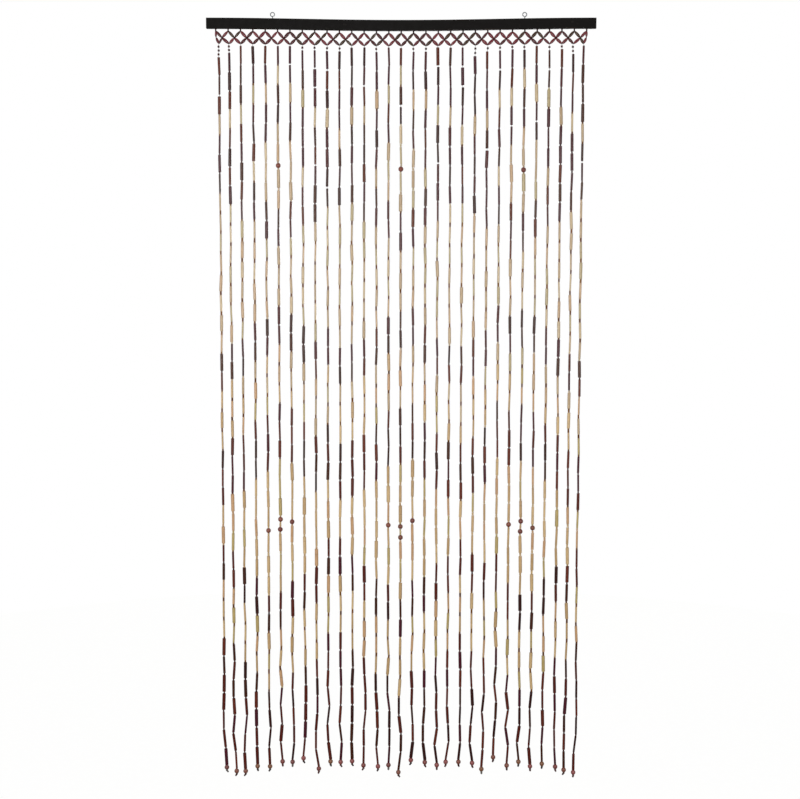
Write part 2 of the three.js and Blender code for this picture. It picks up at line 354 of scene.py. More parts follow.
TUBE_FORM = BeadForm(Profile.tube(0.35 * MM, 0.6 * MM, 0.46), sides=9, node_chance=0.16)
REED_FORM = BeadForm(Profile.tube(0.3 * MM, 0.5 * MM, 0.4), sides=7, oval=0.08, taper=0.12)
GRAIN_FORM = BeadForm(Profile.ball(7, 0.3, 0.9), sides=8, oval=0.08, taper=0.12)
BALL_FORM = BeadForm(Profile.ball(12, 0.2, 1.0), sides=16, oval=0.04, taper=0.05)


def lathe(beads: list[Threaded], form: BeadForm, tones: Array) -> Surface:
    """Beads turned on their own axes, all at once.

    A point lies at top + along * axis + out * (cos(angle) * across + sin(angle) * deep), where the profile
    gives along and out. Out is then widened by oval * cos(2 angle) and by taper towards one end.

    Args:
        beads: the beads.
        form: their profile and unevenness.
        tones: a linear colour for each bead.

    Returns:
        One surface of all the beads, marked with stain, grain, rim and the distance to a node ring.
    """
    string, place = numbers(beads)
    tops = np.stack([bead.top for bead in beads])
    drops = np.stack([bead.bottom for bead in beads]) - tops
    radii = np.array([bead.width / 2 for bead in beads])
    lengths = np.linalg.norm(drops, axis=1)
    axes = drops / lengths[:, None]
    across = unit(np.cross(axes, BACKWARDS))
    deep = np.cross(axes, across)
    profile = form.profile
    along = profile.along_share * lengths[:, None] + profile.along_inset
    out = profile.out_share * radii[:, None] - profile.out_inset
    share = along / lengths[:, None]
    out = out * (1 + form.taper * swing(string, place, Draw.TAPER)[:, None] * (share - 0.5))
    steps = np.arange(form.sides) * 2 * math.pi / form.sides
    turn = steps + 2 * math.pi * chance(string, place, Draw.TURN)[:, None]
    oval = 1 + form.oval * chance(string, place, Draw.OVAL)[:, None] * np.cos(2 * turn)
    reach = out[:, :, None] * oval[:, None, :]
    local = np.stack(
        [
            reach * np.cos(turn)[:, None, :],
            reach * np.sin(turn)[:, None, :],
            np.broadcast_to(along[:, :, None], reach.shape),
        ],
        axis=-1,
    )
    turned = np.stack([across, deep, axes], axis=1)
    points = tops[:, None, None] + np.einsum("nrsk,nkx->nrsx", local, turned)
    count, rows = out.shape
    starts = np.arange(count) * rows * form.sides
    quads = ring_quads(rows, form.sides, closed=True) + starts[:, None, None]
    rings = np.where(
        chance(string, place, Draw.NODE) < form.node_chance,
        (form.node_from + form.node_span * chance(string, place, Draw.NODE_HEIGHT)) * lengths,
        -lengths,
    )
    spread = reach.shape
    from_node = np.broadcast_to((along - rings[:, None])[:, :, None], spread)
    shift = chance(string, place, Draw.GRAIN)[:, None, None, None] * GRAIN_SHIFT_MM
    return Surface(
        points.reshape(-1, 3),
        quads.reshape(-1, 4),
        np.zeros((0, 4), int),
        {
            "stain": np.broadcast_to(tones[:, None, None, :], (*spread, 4)).reshape(-1, 4),
            "grain": (local / MM + shift).reshape(-1, 3),
            "rim": np.broadcast_to(profile.rim[None, :, None], spread).reshape(-1),
            "node": (from_node / MM).reshape(-1),
        },
    )


def sweep(path: Array, radii: Array | float, sides: int, tone: str, closed: bool = False) -> Surface:
    """A round section carried along a path that nowhere runs straight to the front or the back.

    The section stands square to the path: across is the path's direction crossed with +Y, deep is square to
    both, and a point lies at path + radius * (cos(angle) * across + sin(angle) * deep).

    Args:
        path: the points of the path.
        radii: the section's radius, one for all or one for each point.
        sides: number of steps round the section.
        tone: sRGB hex colour of the stuff.
        closed: whether the path runs back into its start; otherwise its ends are capped.

    Returns:
        The surface, marked with stain and grain.
    """
    if closed:
        ways = np.roll(path, -1, axis=0) - np.roll(path, 1, axis=0)
    else:
        ways = np.gradient(path, axis=0)
    ways = unit(ways)
    across = unit(np.cross(ways, BACKWARDS))
    deep = np.cross(ways, across)
    turn = np.arange(sides) * 2 * math.pi / sides
    spread = np.broadcast_to(np.asarray(radii, float), len(path))[:, None]
    offsets = across[:, None] * np.cos(turn)[:, None] + deep[:, None] * np.sin(turn)[:, None]
    points = path[:, None] + spread[:, :, None] * offsets
    steps = np.linalg.norm(np.diff(path, axis=0), axis=1)
    run = np.broadcast_to(np.concatenate([[0], np.cumsum(steps)])[:, None], (len(path), sides))
    grain = np.stack([spread * np.cos(turn), spread * np.sin(turn), run], axis=-1) / MM
    ends = np.arange(sides)
    caps = np.stack([ends[::-1], ends + (len(path) - 1) * sides])
    return Surface(
        points.reshape(-1, 3),
        ring_quads(len(path), sides, closed),
        caps[:0] if closed else caps,
        {"stain": np.tile(linear(tone), (points.size // 3, 1)), "grain": grain.reshape(-1, 3)},
    )


def fill(tree: Tree, node: bpy.types.Node, inputs: dict) -> None:
    """Sets or links a node's inputs.

    Args:
        tree: the node tree.
        node: the node.
        inputs: a value or an output to link, by the input's name or number.
    """
    for key, value in inputs.items():
        if isinstance(value, Socket):
            tree.links.new(value, node.inputs[key])
        else:
            node.inputs[key].default_value = value


def add_node(
    tree: Tree, kind: str, settings: dict | None = None, inputs: dict | None = None
) -> bpy.types.Node:
    """Adds a node, with its settings, and fills or links its inputs.

    Args:
        tree: the node tree.
        kind: the node's type, without the word that all the types start with.
        settings: the node's own settings, by name.
        inputs: a value or an output to link, by the input's name or number.

    Returns:
        The new node.
    """
    node = tree.nodes.new("ShaderNode" + kind)
    for name, value in (settings or {}).items():
        setattr(node, name, value)
    fill(tree, node, inputs or {})
    return node


def new_finish(name: str) -> tuple[bpy.types.Material, Tree, bpy.types.Node]:
    """A new material, its node tree and the shader at its end.

    Args:
        name: the material's name.

    Returns:
        The material, the tree and the shader.
    """
    material = bpy.data.materials.new(name)
    material.use_nodes = True
    return material, material.node_tree, material.node_tree.nodes["Principled BSDF"]


def mark(tree: Tree, name: str, output: str = "Fac") -> Socket:
    """What a surface's mark of that name says, as a number, a vector or a colour."""
    return add_node(tree, "Attribute", {"attribute_name": name}).outputs[output]


def noise(tree: Tree, at: Socket, scale: float, detail: float) -> Socket:
    """Cloudy noise with the same scale in all directions."""
    inputs = {"Vector": at, "Scale": scale, "Detail": detail}
    return add_node(tree, "TexNoise", inputs=inputs).outputs["Fac"]


def grained(tree: Tree, at: Socket, scales: tuple[float, ...], detail: float) -> Socket:
    """Noise that is drawn out: each coordinate has a scale of its own."""
    drawn = add_node(tree, "VectorMath", {"operation": "MULTIPLY"}, {0: at, 1: scales})
    return noise(tree, drawn.outputs[0], 1.0, detail)


def per_mm(across: float, deep: float, along: float) -> tuple[float, float, float]:
    """Scales of a pattern whose marks have these sizes in millimetres, on coordinates in millimetres."""
    return (1 / across, 1 / deep, 1 / along)


def calc(tree: Tree, operation: str, *values: Socket | float) -> Socket:
    """The result of an operation on one to three values."""
    return add_node(tree, "Math", {"operation": operation}, dict(enumerate(values))).outputs[0]


def ranged(tree: Tree, value: Socket, span: Span, result: Span, soft: bool = False) -> Socket:
    """A value carried from one span to another and held at its ends.

    Args:
        tree: the node tree.
        value: the value.
        span: its own span.
        result: what the two ends of the span become.
        soft: whether it starts and stops softly.

    Returns:
        The value in the new span.
    """
    settings = {"interpolation_type": "SMOOTHSTEP" if soft else "LINEAR"}
    ends = {"From Min": span[0], "From Max": span[1], "To Min": result[0], "To Max": result[1]}
    return add_node(tree, "MapRange", settings, {"Value": value, **ends}).outputs["Result"]


def about_one(contrast: float) -> Span:
    """The span from 1 less a contrast to 1 more than it."""
    return (1 - contrast, 1 + contrast)


def blend(tree: Tree, share: Socket, first: Socket | Colour, second: Socket | Colour) -> Socket:
    """A colour that is a share of the way from the first to the second."""
    return add_node(tree, "Mix", {"data_type": "RGBA"}, {0: share, 6: first, 7: second}).outputs[2]


def deepened(tree: Tree, colour: Socket, depth: Socket) -> Socket:
    """A colour made darker or lighter by a factor."""
    return add_node(tree, "HueSaturation", inputs={"Color": colour, "Value": depth}).outputs["Color"]


def relief(tree: Tree, height: Socket, strength: float, depth_mm: float) -> Socket:
    """The normals of a fine relief."""
    inputs = {"Height": height, "Strength": strength, "Distance": depth_mm * MM}
    return add_node(tree, "Bump", inputs=inputs).outputs["Normal"]


def pick(tones: tuple[str, ...], rolls: Array) -> Array:
    """A linear colour for each draw: that of the tone that the draw falls on."""
    return np.array([linear(tone) for tone in tones])[(rolls * len(tones)).astype(int)]


@dataclass(frozen=True)
class BambooFinish:
    """Bamboo culm cut into tubes, stained or left natural, and waxed.

    To the eye that is fine streaks along each tube, a tone of its own for each, cut ends that soaked up
    more stain, an odd darker ring at a node, and a low satin shine.
    """

    name: str
    tones: tuple[str, ...]
    low_tones: tuple[str, ...]
    rim_tone: str = "#2a1512"
    node_tone: str = "#241210"
    fibre_mm: float = 0.55
    fibre_run_mm: float = 15.0
    fibre_detail: float = 4.0
    fibre_contrast: float = 0.22
    blotch_mm: float = 7.0
    blotch_detail: float = 2.0
    blotch_contrast: float = 0.14
    node_half_mm: float = 0.9
    node_core: float = 0.2
    node_depth: float = 0.7
    roughness: float = 0.34
    duller: float = 0.08
    shinier: float = 0.06
    relief_strength: float = 0.5
    relief_mm: float = 0.12
    specular: float = 0.32
    sheen_tone: str = "#ffffff"

    def picked(self, beads: list[Threaded], low: Array) -> Array:
        """A linear colour for each bead: one of the tones, or of the low tones the further down it hangs.

        Args:
            beads: the beads.
            low: for each bead, how likely a low tone is.

        Returns:
            The colours, one row for each bead.
        """
        string, place = numbers(beads)
        roll = chance(string, place, Draw.TONE)
        is_low = chance(string, place, Draw.LOW_TONE) < low
        return np.where(is_low[:, None], pick(self.low_tones, roll), pick(self.tones, roll))

    def build(self) -> bpy.types.Material:
        """The material: the stain mark, streaked, blotched and darkened at its rims and node rings.

        Returns:
            The new material.
        """
        material, tree, shader = new_finish(self.name)
        grain = mark(tree, "grain", "Vector")
        fibre_scales = per_mm(self.fibre_mm, self.fibre_mm, self.fibre_run_mm)
        fibres = grained(tree, grain, fibre_scales, self.fibre_detail)
        blotch_scales = per_mm(self.blotch_mm, self.blotch_mm, 2 * self.blotch_mm)
        blotches = grained(tree, grain, blotch_scales, self.blotch_detail)
        streak = ranged(tree, fibres, NOISE_SPAN, about_one(self.fibre_contrast))
        blotch = ranged(tree, blotches, NOISE_SPAN, about_one(self.blotch_contrast))
        wall = deepened(tree, mark(tree, "stain", "Color"), calc(tree, "MULTIPLY", streak, blotch))
        near = calc(tree, "ABSOLUTE", mark(tree, "node"))
        ring_span = (self.node_core * self.node_half_mm, self.node_half_mm)
        ring = ranged(tree, near, ring_span, (self.node_depth, 0.0), soft=True)
        ringed = blend(tree, ring, wall, linear(self.node_tone))
        dull = (self.roughness + self.duller, self.roughness - self.shinier)
        raised = calc(tree, "ADD", fibres, ring)
        looks = {
            "Base Color": blend(tree, mark(tree, "rim"), ringed, linear(self.rim_tone)),
            "Roughness": ranged(tree, fibres, NOISE_SPAN, dull),
            "Normal": relief(tree, raised, self.relief_strength, self.relief_mm),
            "Specular IOR Level": self.specular,
            "Specular Tint": linear(self.sheen_tone),
        }
        fill(tree, shader, looks)
        return material


@dataclass(frozen=True)
class TurnedWoodFinish:
    """Small wooden balls turned from a pale wood, stained red-brown and tumbled in lacquer.

    To the eye that is a soft round highlight over a stain that runs darker with the grain and at the
    drilled ends.
    """

    name: str
    tones: tuple[str, ...]
    rim_tone: str = "#33150f"
    grain_mm: float = 0.9
    grain_run_mm: float = 6.0
    grain_detail: float = 3.0
    grain_contrast: float = 0.2
    relief_strength: float = 0.3
    relief_mm: float = 0.1
    roughness: float = 0.5
    coat: float = 0.12
    coat_roughness: float = 0.35

    def picked(self, beads: list[Threaded]) -> Array:
        """A linear colour for each bead, one of the tones by its own draw."""
        return pick(self.tones, chance(*numbers(beads), Draw.TONE))

    def build(self) -> bpy.types.Material:
        """The material: the stain mark with the wood's grain under a thin coat.

        Returns:
            The new material.
        """
        material, tree, shader = new_finish(self.name)
        scales = per_mm(self.grain_mm, self.grain_mm, self.grain_run_mm)
        figure = grained(tree, mark(tree, "grain", "Vector"), scales, self.grain_detail)
        depth = ranged(tree, figure, NOISE_SPAN, about_one(self.grain_contrast))
        wood = deepened(tree, mark(tree, "stain", "Color"), depth)
        looks = {
            "Base Color": blend(tree, mark(tree, "rim"), wood, linear(self.rim_tone)),
            "Roughness": self.roughness,
            "Normal": relief(tree, figure, self.relief_strength, self.relief_mm),
            "Coat Weight": self.coat,
            "Coat Roughness": self.coat_roughness,
        }
        fill(tree, shader, looks)
        return material


@dataclass(frozen=True)
class StringFinish:
    """Waxed cotton string, laid up from a few yarns.

    To the eye that is a dull dark thread with slanting yarns. The lay is drawn about twice as coarse as it
    is, so that it shows.
    """

    name: str
    yarns: int = 3
    lay_mm: float = 4.0
    groove_contrast: float = 0.35
    relief_strength: float = 0.6
    relief_mm: float = 0.08
    roughness: float = 0.75
    specular: float = 0.2

    def build(self) -> bpy.types.Material:
        """The material: yarns as a sine of the angle round the string and the distance along it.

        Returns:
            The new material.
        """
        material, tree, shader = new_finish(self.name)
        parts = add_node(tree, "SeparateXYZ", inputs={0: mark(tree, "grain", "Vector")}).outputs
        around = calc(tree, "MULTIPLY", calc(tree, "ARCTAN2", parts[1], parts[0]), float(self.yarns))
        lay = 2 * math.pi * self.yarns / self.lay_mm
        yarns = calc(tree, "SINE", calc(tree, "MULTIPLY_ADD", parts[2], lay, around))
        depth = ranged(tree, yarns, SINE_SPAN, about_one(self.groove_contrast))
        looks = {
            "Base Color": deepened(tree, mark(tree, "stain", "Color"), depth),
            "Roughness": self.roughness,
            "Normal": relief(tree, yarns, self.relief_strength, self.relief_mm),
            "Specular IOR Level": self.specular,
        }
        fill(tree, shader, looks)
        return material


@dataclass(frozen=True)
class PaintedWoodFinish:
    """A softwood batten brushed with black satin paint.

    To the eye that is a near black with the grain just showing through, a few paler scuffs, and paint worn
    thin along the edges.
    """

    name: str
    paint_tone: str = "#100f0e"
    thin_tone: str = "#191716"
    scuff_tone: str = "#33302d"
    wear_tone: str = "#34281f"
    grain_mm: float = 1.1
    grain_run_mm: float = 55.0
    grain_detail: float = 5.0
    scuff_mm: float = 14.0
    scuff_detail: float = 6.0
    scuff_span: Span = (0.64, 0.76)
    scuff_depth: float = 0.55
    wear_span: Span = (0.52, 0.7)
    wear_depth: float = 0.8
    roughness: float = 0.55
    shinier: float = 0.08
    duller: float = 0.15
    relief_strength: float = 0.5
    relief_mm: float = 0.15
    specular: float = 0.05

    def build(self) -> bpy.types.Material:
        """The material: paint over grain, with scuffs by noise, and wear where the rim mark meets noise.

        Returns:
            The new material.
        """
        material, tree, shader = new_finish(self.name)
        place = add_node(tree, "TexCoord").outputs["Object"]
        scales = tuple(scale / MM for scale in per_mm(self.grain_run_mm, self.grain_mm, self.grain_mm))
        grain = grained(tree, place, scales, self.grain_detail)
        scuffs = noise(tree, place, 1 / (self.scuff_mm * MM), self.scuff_detail)
        thin = blend(tree, grain, linear(self.paint_tone), linear(self.thin_tone))
        scuff = ranged(tree, scuffs, self.scuff_span, (0.0, self.scuff_depth))
        scuffed = blend(tree, scuff, thin, linear(self.scuff_tone))
        bare = ranged(tree, grain, self.wear_span, (0.0, self.wear_depth))
        wear = calc(tree, "MULTIPLY", bare, mark(tree, "rim"))
        dull = (self.roughness - self.shinier, self.roughness + self.duller)
        looks = {
            "Base Color": blend(tree, wear, scuffed, linear(self.wear_tone)),
            "Roughness": ranged(tree, scuffs, NOISE_SPAN, dull),
            "Normal": relief(tree, grain, self.relief_strength, self.relief_mm),
            "Specular IOR Level": self.specular,
        }
        fill(tree, shader, looks)
        return material


@dataclass(frozen=True)
class ZincWireFinish:
    """Steel wire, bent cold and zinc plated.

    To the eye that is a soft grey metal with cloudy patches and fine lines drawn along the wire.
    """

    name: str
    bright_tone: str = "#a4a6a8"
    dull_tone: str = "#7c7f82"
    cloud_mm: float = 2.5
    cloud_detail: float = 3.0
    line_mm: float = 0.25
    line_run_mm: float = 6.0
    line_detail: float = 2.0
    roughness: float = 0.48
    duller: float = 0.12
    shinier: float = 0.08
    relief_strength: float = 0.3
    relief_mm: float = 0.03

    def build(self) -> bpy.types.Material:
        """The material: a metal between two greys by cloudy noise, with drawn lines along the wire.

        Returns:
            The new material.
        """
        material, tree, shader = new_finish(self.name)
        grain = mark(tree, "grain", "Vector")
        clouds = noise(tree, grain, 1 / self.cloud_mm, self.cloud_detail)
        line_scales = per_mm(self.line_mm, self.line_mm, self.line_run_mm)
        lines = grained(tree, grain, line_scales, self.line_detail)
        dull = (self.roughness + self.duller, self.roughness - self.shinier)
        looks = {
            "Base Color": blend(tree, clouds, linear(self.dull_tone), linear(self.bright_tone)),
            "Roughness": ranged(tree, clouds, NOISE_SPAN, dull),
            "Normal": relief(tree, lines, self.relief_strength, self.relief_mm),
            "Metallic": 1.0,
        }
        fill(tree, shader, looks)
        return material


STAINED_BAMBOO = BambooFinish(
    "stained bamboo",
    tones=("#481b22", "#421a28", "#321518", "#41221b", "#552215", "#3f1522"),
    low_tones=("#501a12", "#31110f", "#5e2518", "#3e1b0e", "#451220", "#521f17"),
    specular=0.36,
    sheen_tone="#fff0e2",
)
NATURAL_BAMBOO = BambooFinish(
    "natural bamboo",
    tones=("#b39a78", "#ab9270", "#b69774", "#ac9b74", "#bfa986"),
    low_tones=("#bc9c70", "#b39367", "#bc946c", "#ae9963", "#c4a678"),
    rim_tone="#8d7049",
    node_tone="#86683f",
    fibre_contrast=0.14,
    blotch_contrast=0.08,
    specular=0.5,
)
STAINED_REED = BambooFinish(
    "stained reed",
    tones=("#70482a", "#603a20", "#7a5632", "#66412a"),
    low_tones=("#6c4222", "#5a3418", "#724c26"),
    specular=0.18,
    sheen_tone="#ffe0c2",
)
STAINED_SEED = BambooFinish(
    "stained seed beads",
    tones=("#42191b", "#341517", "#4a231a", "#3b1a15"),
    low_tones=("#421b14", "#351512", "#4a2317"),
)
STAINED_GRAIN_BEAD = BambooFinish(
    "stained wooden grain beads",
    tones=("#5c262c", "#6a2b32", "#4a2224", "#443024", "#6d3034"),
    low_tones=("#5c2830",),
    fibre_run_mm=7.0,
)
LACQUERED_WOOD = TurnedWoodFinish(
    "lacquered turned wood",
    tones=("#763a2d", "#7a4132", "#6c352c", "#6f3f2f", "#7e4636"),
)
END_WOOD = TurnedWoodFinish(
    "lacquered end beads",
    tones=("#7d4a3c", "#7a3f3a", "#8a4a48", "#7d5238", "#6f3c38"),
)
WAXED_STRING = StringFinish("waxed cotton string")
BLACK_PAINT = PaintedWoodFinish("black painted softwood")
ZINC_WIRE = ZincWireFinish("zinc plated steel wire")


@dataclass(frozen=True)
class RailBatten:
    """The rail: a batten whose middle dips between its eyes, with eased edges and square ends."""

    middle_x: float
    half_length: float
    half_depth: float
    end_top: float
    dip: float
    height: float = 24 * MM
    edge: float = 0.8 * MM
    edge_steps: int = 5
    edge_margin: float = 1.5
    end_round: float = 0.8
    stations: int = 97

    @staticmethod
    def from_frame() -> "RailBatten":
        """The rail with the length, depth, place and dip of its node."""
        low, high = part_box("rail")
        return RailBatten(
            middle_x=(low.x + high.x) / 2,
            half_length=(high.x - low.x) / 2,
            half_depth=(high.y - low.y) / 2,
            end_top=high.z,
            dip=high.z - low.z - RailBatten.height,
        )

    def top(self, x: Array | float) -> Array:
        """Height of the top edge at x from the rail's middle: a raised cosine dip."""
        return self.end_top - self.dip * 0.5 * (1 + np.cos(math.pi * np.asarray(x) / self.half_length))

    def underside(self, x: Array | float) -> Array:
        """Height of the bottom edge at x from the rail's middle."""
        return self.top(x) - self.height

    def surface(self) -> Surface:
        """A rounded rectangle carried along the dip and drawn in by a quarter round at both ends.

        A point lies at core + (edge - inset) * normal. The core is a rectangle inside the edges' rounds,
        with a point on the flats at either side of each corner, and the inset grows at the ends as a
        quarter circle does.

        Returns:
            The surface, marked 1 along its edges and ends.
        """
        quarter = np.linspace(0, math.pi / 2, self.edge_steps)
        turns = np.concatenate([[0], quarter, [math.pi / 2]]) + np.arange(4)[:, None] * math.pi / 2
        normals = np.stack([np.cos(turns), np.sin(turns)], axis=-1)
        onwards = np.stack([-np.sin(turns), np.cos(turns)], axis=-1)
        slide = np.zeros((len(quarter) + 2, 1))
        slide[[0, -1], 0] = [-self.edge_margin * self.edge, self.edge_margin * self.edge]
        corners = np.array([[1, 1], [-1, 1], [-1, -1], [1, -1]])
        core_half = np.array([self.half_depth, self.height / 2]) - self.edge
        core = (corners[:, None] * core_half + slide * onwards).reshape(-1, 2)
        normals = normals.reshape(-1, 2)
        rim = np.tile(slide[:, 0] == 0, 4).astype(float)
        inner = np.linspace(-1, 1, self.stations) * (self.half_length - self.edge)
        tip = inner[-1] + self.edge * np.sin(quarter[1:])
        x = np.concatenate([-tip[::-1], inner, tip])
        end_inset = self.edge * (1 - np.cos(quarter[1:])) * self.end_round
        inset = np.concatenate([end_inset[::-1], np.zeros(self.stations), end_inset])
        section = core + (self.edge - inset)[:, None, None] * normals
        middle = self.top(x) - self.height / 2
        points = np.stack(
            [
                np.broadcast_to((self.middle_x + x)[:, None], section.shape[:2]),
                section[:, :, 0],
                middle[:, None] + section[:, :, 1],
            ],
            axis=-1,
        )
        ends = np.arange(len(core))
        worn = np.maximum(rim, (inset > 0)[:, None])
        return Surface(
            points.reshape(-1, 3),
            ring_quads(len(x), len(core), closed=False),
            np.stack([ends[::-1], ends + (len(x) - 1) * len(core)]),
            {"rim": worn.reshape(-1)},
        )

    def build(self) -> None:
        """Makes the rail and dresses it in paint."""
        place_piece("rail_batten", self.surface(), BLACK_PAINT.build(), "rail", sharp_deg=60)


@dataclass(frozen=True)
class ScrewEye:
    """A screw eye: one wire that rises from the rail and bends round into a ring."""

    node: str
    ring_x: float
    ring_z: float
    ring_radius: float
    wire_radius: float
    shank_foot: float
    rise: float = 2.4 * MM
    start_deg: float = -62.0
    end_deg: float = 262.0
    sides: int = 12
    shank_steps: int = 8
    bend_steps: int = 9
    ring_steps: int = 56

    @staticmethod
    def from_frame(node: str) -> "ScrewEye":
        """The eye with the ring, wire and shank of its node.

        Args:
            node: the eye's node in the frame.

        Returns:
            The screw eye.
        """
        low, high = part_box(node)
        across = high.x - low.x
        wire = high.y - low.y
        return ScrewEye(
            node=node,
            ring_x=(low.x + high.x) / 2,
            ring_z=high.z - across / 2,
            ring_radius=(across - wire) / 2,
            wire_radius=wire / 2,
            shank_foot=low.z,
        )

    def path(self) -> Array:
        """The wire's middle line: straight up the shank, round a tight bend, and along the ring's circle.

        The bend is a quadratic curve from the shank's head to the ring's start, pulled towards the shank's
        axis.

        Returns:
            The points of the line.
        """
        head = np.array([0, -self.ring_radius - self.rise])
        turn = np.radians(np.linspace(self.start_deg, self.end_deg, self.ring_steps))
        ring = self.ring_radius * np.stack([np.cos(turn), np.sin(turn)], axis=1)
        pull = np.array([0, -self.ring_radius])
        share = np.linspace(0, 1, self.bend_steps)[1:-1, None]
        bend = (1 - share) ** 2 * head + 2 * share * (1 - share) * pull + share**2 * ring[0]
        foot = np.array([0, self.shank_foot - self.ring_z])
        shank = foot + np.linspace(0, 1, self.shank_steps)[:, None] * (head - foot)
        line = np.concatenate([shank, bend, ring])
        return np.stack([self.ring_x + line[:, 0], np.zeros(len(line)), self.ring_z + line[:, 1]], axis=1)

    def build(self, finish: bpy.types.Material) -> None:
        """Makes the eye and dresses it in zinc."""
        wire = sweep(self.path(), self.wire_radius, self.sides, ZINC_WIRE.bright_tone)
        place_piece("screw_" + self.node, wire, finish, self.node)


@dataclass(frozen=True)
class HeadingNet:
    """The net under the rail: stubs of string, grain beads that cross in one row of diamonds, and feet."""

    rail: RailBatten
    strings: int = 31
    pitch: float = 28.36 * MM
    stub_drop: float = 5 * MM
    crossing_drop: float = 20.5 * MM
    foot_drop: float = 34 * MM
    foot_pull: tuple[float, ...] = (7 * MM, 2 * MM)
    bead_width: float = 7.0 * MM
    width_spread: float = 0.1
    side_bead_width: float = 5.8 * MM
    bead_start: float = 0.04
    side_bulge: float = 3 * MM
    string_radius: float = 1.05 * MM
    string_apart: float = 1.4 * MM
    string_steps: int = 13
    rail_sink: float = 1.5 * MM
    string_tone: str = "#2c1a1a"

    def below(self, x: Array, drop: float) -> Array:
        """Points at x from the rail's middle, in the plane of the strings, a drop below the rail."""
        heights = self.rail.underside(x) - drop
        return np.stack([self.rail.middle_x + x, np.zeros(len(x)), heights], axis=1)

    def anchors(self) -> Array:
        """Where the strings leave the rail, from its middle."""
        return (np.arange(self.strings) - (self.strings - 1) / 2) * self.pitch

    def stubs(self) -> Array:
        """The lower ends of the stubs."""
        return self.below(self.anchors(), self.stub_drop)

    def crossings(self) -> Array:
        """The points between the stubs where the strings cross."""
        return self.below(self.anchors()[1:] - self.pitch / 2, self.crossing_drop)

    def feet(self) -> Array:
        """The net's lower points, the outer ones drawn inwards by the shorter runs at the sides.

        Returns:
            A point for each string.
        """
        pull = np.zeros(self.strings)
        outer = np.arange(len(self.foot_pull))
        pull[outer] = self.foot_pull
        pull[-1 - outer] = np.negative(self.foot_pull)
        return self.below(self.anchors() + pull, self.foot_drop)

    def waist(self, side: int) -> Array:
        """The middle of the run at one side, string 0 or -1, which bulges outwards."""
        outwards = -self.side_bulge if side == 0 else self.side_bulge
        return (self.stubs()[side] + self.feet()[side]) / 2 + np.array([outwards, 0, 0])

    def runs(self) -> tuple[Array, Array, Array]:
        """The upper and lower ends of the runs that carry a grain bead, and the beads' widths.

        A run goes from one knot of the net to the next, and the runs at the sides by way of the waists.

        Returns:
            The upper ends, the lower ends and the widths, one for each run.
        """
        stubs, crossings, feet = self.stubs(), self.crossings(), self.feet()
        waists = np.stack([self.waist(0), self.waist(-1)])
        uppers = np.concatenate([stubs[:-1], stubs[1:], crossings, crossings, stubs[[0, -1]], waists])
        lowers = np.concatenate([crossings, crossings, feet[:-1], feet[1:], waists, feet[[0, -1]]])
        widths = np.full(len(uppers), self.bead_width)
        gaps = self.strings - 1
        outer = [0, 2 * gaps - 1, 2 * gaps, 4 * gaps - 1]
        widths[outer] = self.side_bead_width
        widths[4 * gaps :] = self.side_bead_width
        return uppers, lowers, widths

    def beads(self) -> list[Threaded]:
        """The grain beads, each on the middle of its run.

        Returns:
            The beads.
        """
        uppers, lowers, widths = self.runs()
        places = np.arange(len(uppers))
        margins = self.bead_start * (lowers - uppers)
        widths = widths * (1 + self.width_spread * swing(self.strings, places, Draw.WIDTH))
        facts = zip(places, uppers + margins, lowers - margins, widths)
        return [Threaded(BeadKind.SEED, self.strings, *fact) for fact in facts]

    def strings_surface(self) -> Surface:
        """The net's strings: from each stub one runs down to the right and one down to the left.

        Each passes a crossing in front of or behind the other string and ends at the next foot. At the
        sides the string runs down by way of the waist to the outer foot.

        Returns:
            The surface of all the strings.
        """
        tops = self.below(self.anchors(), -self.rail_sink)
        stubs, crossings, feet = self.stubs(), self.crossings(), self.feet()
        parts = []
        for string in range(self.strings):
            for way in (-1, 1):
                aside = np.array([way * self.string_apart / 2, 0, 0])
                gap = string if way > 0 else string - 1
                inside = 0 <= gap < len(crossings)
                foot = feet[string + way] if inside else feet[string]
                passing = crossings[gap] if inside else self.waist(0 if way < 0 else -1)
                over = np.array([0, way * self.string_apart, 0])
                path = np.stack([tops[string] + aside, stubs[string] + aside, passing + over, foot - aside])
                fine = np.linspace(0, len(path) - 1, self.string_steps)
                path = np.stack([np.interp(fine, np.arange(len(path)), axis) for axis in path.T], axis=1)
                parts.append(sweep(path, self.string_radius, STRING_SIDES, self.string_tone))
        return Surface.join(parts)


